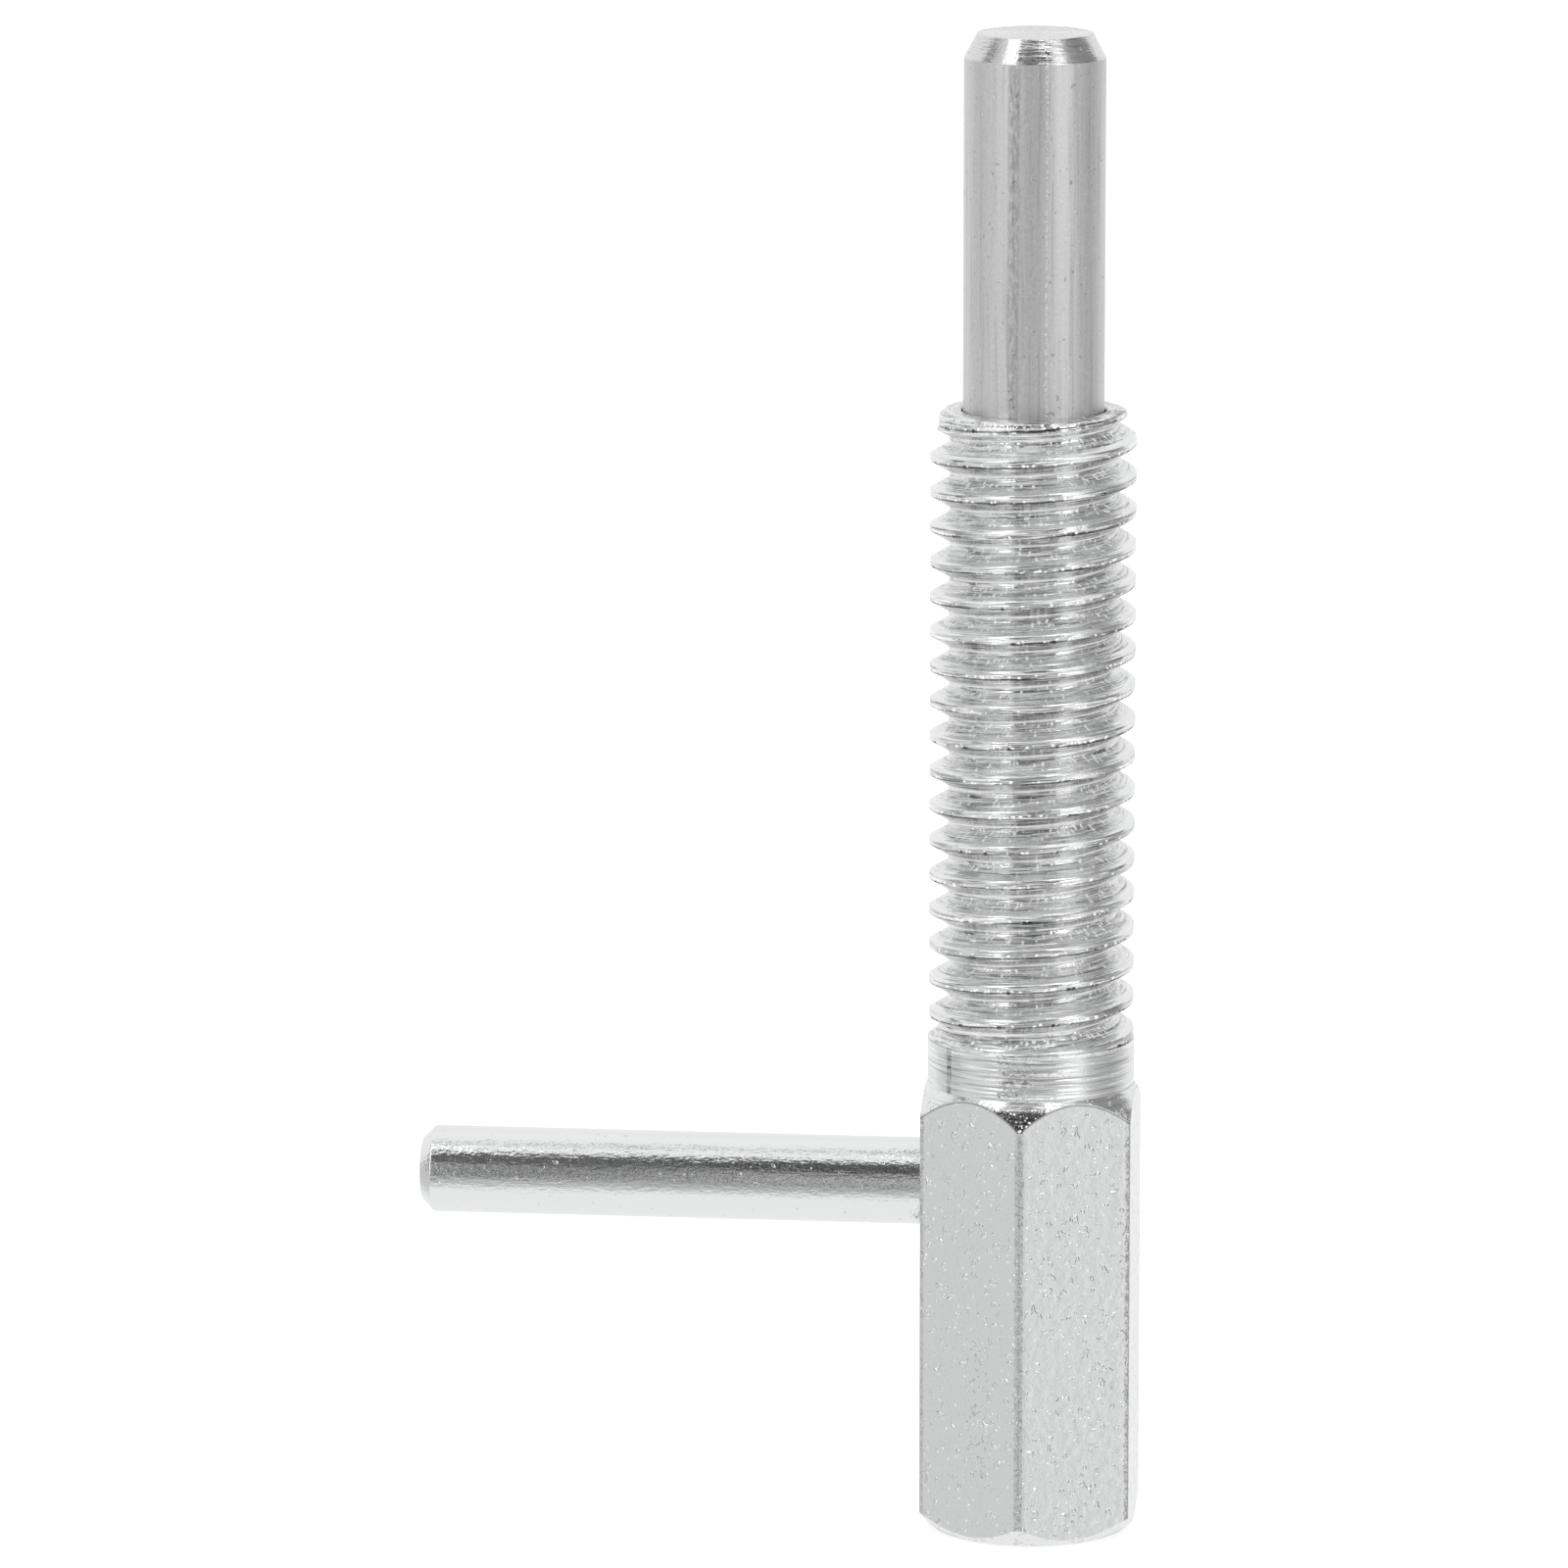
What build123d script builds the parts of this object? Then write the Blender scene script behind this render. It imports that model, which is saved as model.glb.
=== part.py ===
"""Hand-retractable indexing plunger with a side lever.

A hexagon bar is turned down to a collar and a long threaded barrel. A plunger pin
slides inside it, a coil spring round the pin's stem pushes the pin out through the
mouth of the barrel, and a round lever pressed into the stem reaches out through a
slot in one hexagon flat, so that a thumb can draw the pin back.

The origin is the centre of the rear face. +Z runs along the axis towards the nose
of the pin, and the lever points to -X. All lengths are in millimetres.
"""
from build123d import *
import math
import os

# Plunger pin
pin_diameter = 6.35
pin_protrusion = 16.95
pin_clearance = 0.075
tip_chamfer_width = 0.58
tip_chamfer_length = 1.1
relief_groove_width = 0.8
relief_groove_depth = 0.2
relief_groove_inset = 0.1

# External thread on the barrel, right hand
barrel_wall = 0.525
thread_depth = 0.86
thread_pitch = 1.5875
thread_flank_angle = 60.0
thread_root_flat = 0.397
thread_length = 28.65
thread_runout_turns = 0.5
thread_start_angle = -245.0
mouth_land = 0.75
lead_depth = 0.395
lead_length = 0.75

# Collar between the hexagon and the thread
collar_step = 0.045
collar_length = 2.1

# Hexagon bar
hex_flat_step = 0.0825
hex_shoulder_angle = 34.0
rear_chamfer_width = 0.2825
rear_chamfer_angle = 45.0
rear_wall = 2.4

# Side lever and its seat on the stem
lever_diameter = 3.969
lever_reach = 27.8
lever_setback = 3.55
lever_end_chamfer = 0.55
lever_seat_depth = 0.25
lever_seat_margin = 0.3
spigot_diameter = 2.4
spigot_clearance = 0.01
spigot_end_inset = 0.9

# Retraction, and the slot that guides the lever
travel = 9.525
slot_side_clearance = 0.1
slot_front_gap = 0.03
slot_rear_gap = 0.2

# Stem behind the pin
stem_clearance = 0.075
stem_tail_land = 1.2
stem_end_gap = 0.4

# Compression spring round the stem
spring_wire_diameter = 0.65
spring_wire_sides = 5
spring_active_turns = 4.0
spring_closed_turns = 0.5
spring_compressed_length = 6.225
spring_outer_clearance = 0.12
spring_inner_clearance = 0.23
spring_end_gap = 0.05


# Radii, from the pin outwards and from the spring inwards
pin_radius = pin_diameter / 2
bore_radius = pin_radius + pin_clearance
minor_radius = bore_radius + barrel_wall
major_radius = minor_radius + thread_depth
mouth_radius = bore_radius + mouth_land
lead_radius = major_radius - lead_depth
collar_radius = major_radius + collar_step
hex_across_flats = 2 * (collar_radius + hex_flat_step)
hex_corner_radius = hex_across_flats / 2 / math.cos(math.pi / 6)
wire_radius = spring_wire_diameter / 2
coil_radius = bore_radius - spring_outer_clearance - wire_radius
stem_radius = coil_radius - wire_radius - spring_inner_clearance
stem_bore_radius = stem_radius + stem_clearance
lever_radius = lever_diameter / 2

# Heights along the axis, from the rear face
stem_bore_end = rear_wall
stem_end = stem_bore_end + stem_end_gap + travel
lever_height = stem_end + stem_tail_land + lever_seat_margin + lever_radius
slot_width = lever_diameter + 2 * slot_side_clearance
slot_front = lever_height + lever_radius + slot_front_gap
slot_rear = lever_height - travel - lever_radius - slot_rear_gap
hex_corner_length = lever_height + lever_setback
shoulder_length = (hex_corner_radius - collar_radius) / math.tan(math.radians(hex_shoulder_angle))
collar_bottom = hex_corner_length + shoulder_length
collar_top = collar_bottom + collar_length
spring_seat = collar_bottom
guide_start = spring_seat + spring_compressed_length + travel
mouth_height = collar_top + thread_length
tip_height = mouth_height + pin_protrusion


def turned(*outline):
    """Solid of revolution about the axis from (radius, height) points."""
    return revolve(Plane.XZ * make_face(Polyline(*outline, close=True)), Axis.Z)


def hexagon_bar():
    """Hexagon with its rear corners chamfered and its front corners turned to a cone."""
    bar = extrude(
        RegularPolygon(hex_across_flats / 2, 6, major_radius=False, rotation=30),
        amount=collar_bottom,
    )
    rear_radius = hex_across_flats / 2 - rear_chamfer_width
    outer = hex_corner_radius + 1
    rear_rise = (outer - rear_radius) / math.tan(math.radians(rear_chamfer_angle))
    front_drop = (outer - collar_radius) / math.tan(math.radians(hex_shoulder_angle))
    turning = turned(
        (0, 0),
        (rear_radius, 0),
        (outer, rear_rise),
        (outer, collar_bottom - front_drop),
        (collar_radius, collar_bottom),
        (0, collar_bottom),
    )
    return bar & turning


def thread_groove():
    """Turns of the helical groove of the thread, which runs out on a cone at the collar."""
    lift = thread_depth / 10
    half_root = thread_root_flat / 2
    half_top = half_root + (thread_depth + lift) * math.tan(math.radians(thread_flank_angle / 2))
    start = collar_top - thread_pitch
    section = Plane.XZ * make_face(
        Polyline(
            (minor_radius, start - half_root),
            (major_radius + lift, start - half_top),
            (major_radius + lift, start + half_top),
            (minor_radius, start + half_root),
            close=True,
        )
    )
    path = Helix(pitch=thread_pitch, height=thread_pitch, radius=minor_radius, center=(0, 0, start))
    turn = Rot(0, 0, thread_start_angle) * sweep(section, path=path, is_frenet=True)
    runout_length = thread_runout_turns * thread_pitch
    runout_top = collar_top + runout_length
    runout = turned(
        (0, start - 2 * thread_pitch),
        (major_radius + 1, start - 2 * thread_pitch),
        (major_radius + 1, collar_top),
        (major_radius, collar_top),
        (minor_radius - thread_depth / 2, runout_top + runout_length / 2),
        (0, runout_top + runout_length / 2),
    )
    turns = []
    for index in range(math.ceil(thread_length / thread_pitch) + 2):
        one = Pos(0, 0, index * thread_pitch) * turn
        if one.bounding_box().min.Z < runout_top:
            one = one - runout
        turns.extend(one.solids())
    return turns


def threaded_body():
    """Hexagon, collar and threaded barrel in one piece, with its bores and slot."""
    barrel = turned(
        (0, collar_bottom),
        (collar_radius, collar_bottom),
        (collar_radius, collar_top),
        (major_radius, collar_top),
        (major_radius, mouth_height - lead_length - lead_depth),
        (lead_radius, mouth_height - lead_length),
        (lead_radius, mouth_height - (lead_radius - mouth_radius)),
        (mouth_radius, mouth_height),
        (0, mouth_height),
    )
    bores = turned(
        (0, stem_bore_end),
        (stem_bore_radius, stem_bore_end),
        (stem_bore_radius, spring_seat),
        (bore_radius, spring_seat),
        (bore_radius, mouth_height + 1),
        (0, mouth_height + 1),
    )
    return hexagon_bar() + (barrel - bores).cut(*thread_groove()) - bores - lever_slot()


def lever_slot():
    """Straight slot with round ends, from the -X flat into the stem bore."""
    slot = SlotOverall(slot_front - slot_rear, slot_width, rotation=90)
    middle = Pos(0, (slot_front + slot_rear) / 2)
    return extrude(Plane.YZ * middle * slot, amount=-hex_across_flats)


def plunger_pin():
    """Nose, guided length and stem turned from one bar, cross-drilled for the lever."""
    relief_top = mouth_height - relief_groove_inset
    pin = turned(
        (0, stem_end),
        (stem_radius, stem_end),
        (stem_radius, guide_start),
        (pin_radius, guide_start),
        (pin_radius, relief_top - relief_groove_width),
        (pin_radius - relief_groove_depth, relief_top - relief_groove_width / 2),
        (pin_radius, relief_top),
        (pin_radius, tip_height - tip_chamfer_length),
        (pin_radius - tip_chamfer_width, tip_height),
        (0, tip_height),
    )
    seat = Pos(-stem_radius, 0, lever_height) * Box(
        2 * lever_seat_depth,
        2 * stem_radius,
        2 * (lever_radius + lever_seat_margin),
    )
    hole_depth = 2 * stem_radius - spigot_end_inset
    hole = Plane((-stem_radius, 0, lever_height), z_dir=(1, 0, 0)) * Cylinder(
        spigot_diameter / 2,
        hole_depth,
        align=(Align.CENTER, Align.CENTER, Align.MIN),
    )
    return pin - seat - hole


def lever_handle():
    """Round lever with a turned-down spigot that presses into the stem."""
    seat_x = stem_radius - lever_seat_depth
    spigot_x = -(stem_radius - spigot_end_inset - spigot_clearance)
    spigot_radius = spigot_diameter / 2 - spigot_clearance
    lever = revolve(
        Plane.XZ
        * make_face(
            Polyline(
                (-spigot_x, 0),
                (-spigot_x, spigot_radius),
                (-seat_x, spigot_radius),
                (-seat_x, lever_radius),
                (-(lever_reach - lever_end_chamfer), lever_radius),
                (-lever_reach, lever_radius - lever_end_chamfer),
                (-lever_reach, 0),
                close=True,
            )
        ),
        Axis.X,
    )
    return Pos(0, 0, lever_height) * lever


def compression_spring():
    """Coil spring with a closed end each side, between the seat and the pin's shoulder."""
    start = spring_seat + spring_end_gap + wire_radius
    end = guide_start - spring_end_gap - wire_radius
    closed_rise = spring_closed_turns * spring_wire_diameter
    active_pitch = (end - start - 2 * closed_rise) / spring_active_turns

    def stretch(first_turn, turns, pitch, height):
        """Wire wound for a number of turns, starting at a turn and a height."""
        path = Helix(pitch=pitch, height=turns * pitch, radius=coil_radius, center=(0, 0, height))
        wire = RegularPolygon(wire_radius, spring_wire_sides)
        section = Plane.XZ * Pos(coil_radius, height) * wire
        return Rot(0, 0, 360 * first_turn) * sweep(section, path=path, is_frenet=True)

    closed_pitch = spring_wire_diameter
    last_turn = spring_closed_turns + spring_active_turns
    rear = stretch(0, spring_closed_turns, closed_pitch, start)
    active = stretch(spring_closed_turns, spring_active_turns, active_pitch, start + closed_rise)
    front = stretch(last_turn, spring_closed_turns, closed_pitch, end - closed_rise)
    return rear + active + front


def main():
    """Write one file for each piece."""
    pieces = {
        "threaded_body": threaded_body(),
        "plunger_pin": plunger_pin(),
        "lever_handle": lever_handle(),
        "compression_spring": compression_spring(),
    }
    os.makedirs("parts", exist_ok=True)
    for name, piece in pieces.items():
        export_step(piece, f"parts/{name}.step")


main()
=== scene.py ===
"""Looks of a hand-retractable indexing plunger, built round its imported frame.

The body, pin, lever and spring are made again with their fine detail and finishes, each
in the place of its plain solid. Lengths are in metres, +Z runs from the rear face to the
nose of the pin, and the lever points to -X.
"""
import math

import bpy
from bpy.props import FloatProperty, FloatVectorProperty, IntProperty, PointerProperty
from mathutils import Matrix, Vector


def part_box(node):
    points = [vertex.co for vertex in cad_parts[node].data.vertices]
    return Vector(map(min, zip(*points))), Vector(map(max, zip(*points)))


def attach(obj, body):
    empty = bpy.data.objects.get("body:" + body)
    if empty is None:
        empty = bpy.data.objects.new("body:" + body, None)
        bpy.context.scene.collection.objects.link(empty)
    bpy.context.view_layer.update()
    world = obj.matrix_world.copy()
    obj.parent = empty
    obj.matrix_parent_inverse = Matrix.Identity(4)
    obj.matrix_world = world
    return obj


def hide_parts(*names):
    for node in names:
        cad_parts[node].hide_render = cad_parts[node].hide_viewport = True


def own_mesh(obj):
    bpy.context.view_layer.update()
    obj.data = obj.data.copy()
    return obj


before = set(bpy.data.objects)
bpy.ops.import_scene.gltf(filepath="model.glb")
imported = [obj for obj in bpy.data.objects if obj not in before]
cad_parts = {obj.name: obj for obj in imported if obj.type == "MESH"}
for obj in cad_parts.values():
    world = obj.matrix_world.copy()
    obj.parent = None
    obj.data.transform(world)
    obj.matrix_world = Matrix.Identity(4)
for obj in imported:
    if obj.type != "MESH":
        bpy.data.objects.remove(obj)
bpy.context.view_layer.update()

bl_info = {
    "name": "Indexing plunger",
    "version": (1, 0, 0),
    "blender": (4, 5, 0),
    "location": "View3D > Sidebar > Plunger",
    "description": "Builds the visible pieces and finishes of an indexing plunger",
    "category": "Object",
}

MM = 0.001
BODY_LOW, BODY_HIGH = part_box("threaded_body")
PIN_LOW, PIN_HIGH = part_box("plunger_pin")
LEVER_LOW, LEVER_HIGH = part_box("lever_handle")
SPRING_LOW, SPRING_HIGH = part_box("compression_spring")

# Kinds of noise, each with its detail and its roughness
SOFT = (1.0, 0.5)
EVEN = (2.0, 0.5)
CRISP = (2.0, 0.6)
BUSY = (3.0, 0.6)

# Fineness of the meshes
PIN_SIDES = 128
HOLE_SIDES = 48
LEVER_SIDES = 96
WIRE_SIDES = 16
COIL_POINTS = 300
SLOT_END_STEPS = 16
ROUNDING_STEPS = 3
SHARP_DEGREES = 26


def length(name, description, default):
    """Property for a length in metres."""
    return FloatProperty(
        name=name, description=description, default=default, unit="LENGTH", precision=5
    )


def angle(name, description, degrees):
    """Property for an angle."""
    return FloatProperty(
        name=name, description=description, default=math.radians(degrees), subtype="ANGLE"
    )


def share(name, description, default):
    """Property for a number from 0 to 1."""
    return FloatProperty(
        name=name, description=description, default=default, min=0.0, max=1.0, subtype="FACTOR"
    )


def number(name, description, default):
    """Property for a plain number."""
    return FloatProperty(name=name, description=description, default=default)


def colour(name, description, default):
    """Property for a colour."""
    return FloatVectorProperty(
        name=name, description=description, default=default, size=3, min=0.0, max=1.0, subtype="COLOR"
    )


class PLUNGER_PG_body(bpy.types.PropertyGroup):
    """Sizes of the threaded body."""

    across_flats: length("Across flats", "Hexagon across its flats", BODY_HIGH.x - BODY_LOW.x)
    corner_rounding: length("Corner rounding", "Radius along the hexagon's corners", 0.15 * MM)
    mouth_height: length("Mouth height", "Rear face to the mouth of the barrel", BODY_HIGH.z)
    collar_bottom: length("Collar bottom", "Rear face to the foot of the collar", 20.5741 * MM)
    collar_top: length("Collar top", "Rear face to the top of the collar", 22.6741 * MM)
    collar_radius: length("Collar radius", "Radius of the collar", 4.68 * MM)
    shoulder_angle: angle("Shoulder angle", "Half angle of the cone on the hexagon's front", 34)
    rear_radius: length("Rear face radius", "Flat rear face inside its chamfer", 4.48 * MM)
    major_radius: length("Crest radius", "Outer radius of the thread", 4.635 * MM)
    minor_radius: length("Root radius", "Inner radius of the thread", 3.775 * MM)
    thread_pitch: length("Pitch", "Height of one turn of the thread", 1.5875 * MM)
    root_flat: length("Root flat", "Width of the groove at its root", 0.24 * MM)
    root_rounding: length("Root rounding", "Radius in the corners of the root", 0.1 * MM)
    crest_rounding: length("Crest rounding", "Radius on the edges of the crest", 0.07 * MM)
    thread_start: angle("Start angle", "Turn of the groove about the axis", -245)
    runout_turns: number("Run-out turns", "Turns in which the groove fades out", 0.5)
    mouth_radius: length("Mouth radius", "Outer edge of the flat mouth", 4.0 * MM)
    lead_radius: length("Lead radius", "Turned-down start of the thread", 4.24 * MM)
    lead_length: length("Lead length", "Length that is turned down at the mouth", 0.75 * MM)
    bore_radius: length("Bore radius", "Bore that guides the pin", 3.25 * MM)
    stem_bore_radius: length("Stem bore radius", "Bore that guides the stem", 2.325 * MM)
    stem_bore_end: length("Rear wall", "Thickness behind the stem bore", 2.4 * MM)
    slot_rear: length("Slot rear end", "Rear face to the slot", 4.1 * MM)
    slot_front: length("Slot front end", "Rear face to the far end of the slot", 17.824 * MM)
    slot_width: length("Slot width", "Width of the slot for the lever", 4.169 * MM)
    nick_depth: length("Nick depth", "Depth of the small dents on the crests", 0.05 * MM)
    nick_scale: number("Nick scale", "Closeness of the dents, to the metre", 1100.0)
    seed: number("Seed", "Seed of the dents", 3.0)
    columns: IntProperty(name="Columns", description="Faces round the body", default=144)


class PLUNGER_PG_pin(bpy.types.PropertyGroup):
    """Sizes of the pin and its stem."""

    radius: length("Radius", "Radius of the pin", PIN_HIGH.x)
    tip_chamfer_width: length("Tip chamfer width", "Chamfer of the nose across", 0.58 * MM)
    tip_chamfer_length: length("Tip chamfer length", "Chamfer of the nose along", 1.1 * MM)
    relief_top: length("Relief top", "Front edge of the relief at the mouth", 51.2241 * MM)
    relief_width: length("Relief width", "Width of the relief groove", 0.8 * MM)
    relief_depth: length("Relief depth", "Depth of the relief groove", 0.2 * MM)
    guide_start: length("Guide start", "Rear face to the pin's shoulder", 36.3241 * MM)
    stem_radius: length("Stem radius", "Radius of the stem", 2.25 * MM)
    edge_rounding: length("Edge rounding", "Radius of the turned edges", 0.06 * MM)
    hole_radius: length("Hole radius", "Cross hole for the lever's spigot", 1.2 * MM)
    hole_end: length("Hole end", "Stem left behind the cross hole", 0.9 * MM)
    seat_depth: length("Seat depth", "Flat cut for the lever", 0.25 * MM)
    seat_margin: length("Seat margin", "Flat beyond the lever", 0.3 * MM)


class PLUNGER_PG_lever(bpy.types.PropertyGroup):
    """Sizes of the lever."""

    radius: length("Radius", "Radius of the lever", (LEVER_HIGH.z - LEVER_LOW.z) / 2)
    reach: length("Reach", "Axis of the body to the end of the lever", -LEVER_LOW.x)
    height: length("Height", "Rear face to the lever's axis", (LEVER_HIGH.z + LEVER_LOW.z) / 2)
    seat: length("Seat", "Axis of the body to the lever's inner end", 2.0 * MM)
    spigot_end: length("Spigot end", "End of the spigot beyond the axis", LEVER_HIGH.x)
    spigot_radius: length("Spigot radius", "Radius of the spigot", 1.19 * MM)
    end_chamfer: length("End chamfer", "Chamfer at the outer end", 0.55 * MM)
    edge_rounding: length("Edge rounding", "Radius of the turned edges", 0.1 * MM)


class PLUNGER_PG_spring(bpy.types.PropertyGroup):
    """Sizes of the spring."""

    wire_radius: length("Wire radius", "Radius of the spring wire", 0.325 * MM)
    coil_radius: length("Coil radius", "Axis to the middle of the wire", 2.805 * MM)
    rear_end: length("Rear end", "Rear face to the rear end of the spring", SPRING_LOW.z)
    front_end: length("Front end", "Rear face to the front end of the spring", SPRING_HIGH.z)
    seat_height: length("Seat height", "Rear face to the spring's seat", 20.5741 * MM)
    kept_share: share("Kept share", "Length left when the lever is drawn back", 0.3952)
    active_turns: number("Active turns", "Open turns", 4.0)
    closed_turns: number("Closed turns", "Closed turns at each end", 0.5)


class PLUNGER_PG_finish(bpy.types.PropertyGroup):
    """Colours of the finishes, with a matt white for painted highlights and a dark colour for real
    marks and painted shade.
    """

    plating: colour("Plating", "Bright zinc plating", (0.83, 0.835, 0.84))
    ground: colour("Ground steel", "Satin ground steel", (0.72, 0.72, 0.725))
    wire: colour("Spring wire", "Drawn spring wire", (0.5, 0.5, 0.51))
    # Matt white for painted highlights: sparkle, bright dots and lines
    painted_glint_white: colour("Glint", "Matt white of the small bright points", (0.97, 0.97, 0.97))
    # Dark colour for real marks and for painted shade
    dirt_and_painted_shade: colour("Dirt", "Dark marks in the plating", (0.06, 0.06, 0.06))
    scratch_turn: angle("Scratch", "Turn of the scratch on the collar", -136.3)
    # Turn of a painted dark reflection band along the pin
    painted_band_turn: angle("Streak", "Turn of the dull streak along the pin", -101.6)
    # Ridge in the pin's relief, which also carries a painted highlight
    ridge_turn: angle("Ridge", "Turn of the broken bright line along the pin", -75.0)
    marks_from: angle("Marks from", "Where the marks on the collar start", -101.0)
    marks_to: angle("Marks to", "Where the marks on the collar end", -85.0)


class PLUNGER_PG_view(bpy.types.PropertyGroup):
    """Camera of the photograph, and the light."""

    azimuth: angle("Azimuth", "Camera's turn to the right of the front", 5.413)
    elevation: angle("Elevation", "Camera's height above the level", 10.782)
    distance: length("Distance", "Camera to the point that it is placed by", 0.5)
    target_height: length("Point height", "Height of that point on the axis", 0.034)
    lens: number("Lens", "Focal length in millimetres", 254.76)
    picture: IntProperty(name="Picture", description="Width of the photograph in pixels", default=1600)
    target_x: number("Point X", "Where the photograph shows it", 1053.17)
    target_y: number("Point Y", "Where the photograph shows it", 804.4)
    light: number("Light", "Level of the surrounding light", 1.0)


def math_method(operation, swapped=False):
    """Method that adds one Math node, whose two values may be swapped."""

    def method(self, *other):
        values = (*other, self) if swapped else (self, *other)
        return self.nodes.math(operation, *values)

    return method


class Value:
    """A socket of a node tree, on which sums can be written as Python expressions."""

    def __init__(self, nodes, socket):
        self.nodes = nodes
        self.socket = socket

    def out(self, key):
        """Another output of the same node."""
        return Value(self.nodes, find_socket(self.socket.node.outputs, key))

    __add__ = math_method("ADD")
    __radd__ = math_method("ADD", swapped=True)
    __sub__ = math_method("SUBTRACT")
    __rsub__ = math_method("SUBTRACT", swapped=True)
    __mul__ = math_method("MULTIPLY")
    __rmul__ = math_method("MULTIPLY", swapped=True)
    __truediv__ = math_method("DIVIDE")
    __rtruediv__ = math_method("DIVIDE", swapped=True)
    __mod__ = math_method("FLOORED_MODULO")
    __gt__ = math_method("GREATER_THAN")
    __lt__ = math_method("LESS_THAN")
    __abs__ = math_method("ABSOLUTE")


def find_socket(sockets, key):
    """Socket by its place, its identifier or its name."""
    if isinstance(key, int):
        return sockets[key]
    for socket in sockets:
        if socket.identifier == key:
            return socket
    for socket in sockets:
        if socket.name == key and socket.enabled:
            return socket
    raise KeyError(f"no socket {key}")


class Nodes:
    """Adds nodes to one tree."""

    def __init__(self, tree):
        self.tree = tree

    def add(self, kind, settings=None, inputs=None, output=0):
        """Node of a type, with its settings first and then its sockets' values or links."""
        node = self.tree.nodes.new(kind)
        for name, value in (settings or {}).items():
            if name == "stops":
                set_stops(node.color_ramp, value)
            elif name == "items":
                while len(node.index_switch_items) < value:
                    node.index_switch_items.new()
            else:
                setattr(node, name, value)
        for key, value in (inputs or {}).items():
            socket = find_socket(node.inputs, key)
            for one in value if isinstance(value, list) else [value]:
                if isinstance(one, Value):
                    self.tree.links.new(one.socket, socket)
                else:
                    socket.default_value = one
        return Value(self, find_socket(node.outputs, output)) if node.outputs else node

    def math(self, operation, *values):
        """Math node on numbers and sockets."""
        return self.add("ShaderNodeMath", {"operation": operation}, dict(enumerate(values)))

    def clamp(self, value, low=0.0, high=1.0):
        """Value kept between two limits."""
        return self.math("MINIMUM", self.math("MAXIMUM", value, low), high)

    def mix(self, factor, a, b):
        """Number between two others."""
        inputs = {"Factor_Float": factor, "A_Float": a, "B_Float": b}
        return self.add("ShaderNodeMix", {"data_type": "FLOAT"}, inputs, "Result_Float")

    def mix_colour(self, factor, a, b):
        """Colour between two others."""
        inputs = {"Factor_Float": factor, "A_Color": a, "B_Color": b}
        return self.add("ShaderNodeMix", {"data_type": "RGBA"}, inputs, "Result_Color")

    def rise(self, value, low, high):
        """Smooth rise from 0 to 1 between two limits."""
        inputs = {"Value": value, "From Min": low, "From Max": high}
        return self.add("ShaderNodeMapRange", {"interpolation_type": "SMOOTHSTEP"}, inputs, "Result")

    def band(self, value, low, high, soft):
        """1 between two limits and 0 outside them, with soft edges."""
        return self.rise(value, low - soft, low) * self.rise(value, high + soft, high)

    def vector(self, x, y, z):
        """Vector of three numbers."""
        return self.add("ShaderNodeCombineXYZ", None, {0: x, 1: y, 2: z})

    def axes(self, vector):
        """X, Y and Z of a vector."""
        x = self.add("ShaderNodeSeparateXYZ", None, {"Vector": vector}, "X")
        return x, x.out("Y"), x.out("Z")

    def round_point(self, radius, turn, height):
        """Point at a radius, an angle round the axis and a height."""
        x = radius * self.math("COSINE", turn)
        y = radius * self.math("SINE", turn)
        return self.vector(x, y, height)

    def levels(self, value, low, high, stops):
        """Level that follows (value, level) pairs between two limits."""
        white = 2
        span = high - low
        settings = {"stops": [((place - low) / span, level / white) for place, level in stops]}
        return white * self.add("ShaderNodeValToRGB", settings, {"Fac": (value - low) / span}, "Color")

    def domes(self, place, scale, size, randomness=0.85):
        """Small round domes from 0 to 1, one in each cell of the given scale."""
        settings = {"voronoi_dimensions": "3D", "feature": "F1"}
        inputs = {"Vector": place, "Scale": scale, "Randomness": randomness}
        distance = self.add("ShaderNodeTexVoronoi", settings, inputs, "Distance")
        return self.rise(distance, size, 0.0)

    def noise(self, place, scale, kind, seed):
        """Noise from 0 to 1 of one kind, with a fixed seed."""
        detail, roughness = kind
        inputs = {"Vector": place, "W": seed, "Scale": scale, "Detail": detail, "Roughness": roughness}
        return self.add("ShaderNodeTexNoise", {"noise_dimensions": "4D"}, inputs, "Fac")


def set_stops(ramp, stops):
    """Stops of a colour ramp, from (place, grey level) pairs."""
    while len(ramp.elements) < len(stops):
        ramp.elements.new(1.0)
    for element, (place, level) in zip(ramp.elements, stops):
        element.position = place
        element.color = (level, level, level, 1.0)


def rgba(values):
    """Colour with full opacity."""
    return (*values, 1.0)


def material(name):
    """Empty material, its node maker and its place vector in millimetres."""
    made = bpy.data.materials.new(name)
    made.use_nodes = True
    made.node_tree.nodes.clear()
    nodes = Nodes(made.node_tree)
    place = nodes.add("ShaderNodeTexCoord", output="Object")
    place = nodes.add("ShaderNodeVectorMath", {"operation": "SCALE"}, {0: place, "Scale": 1 / MM})
    return made, nodes, place


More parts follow.
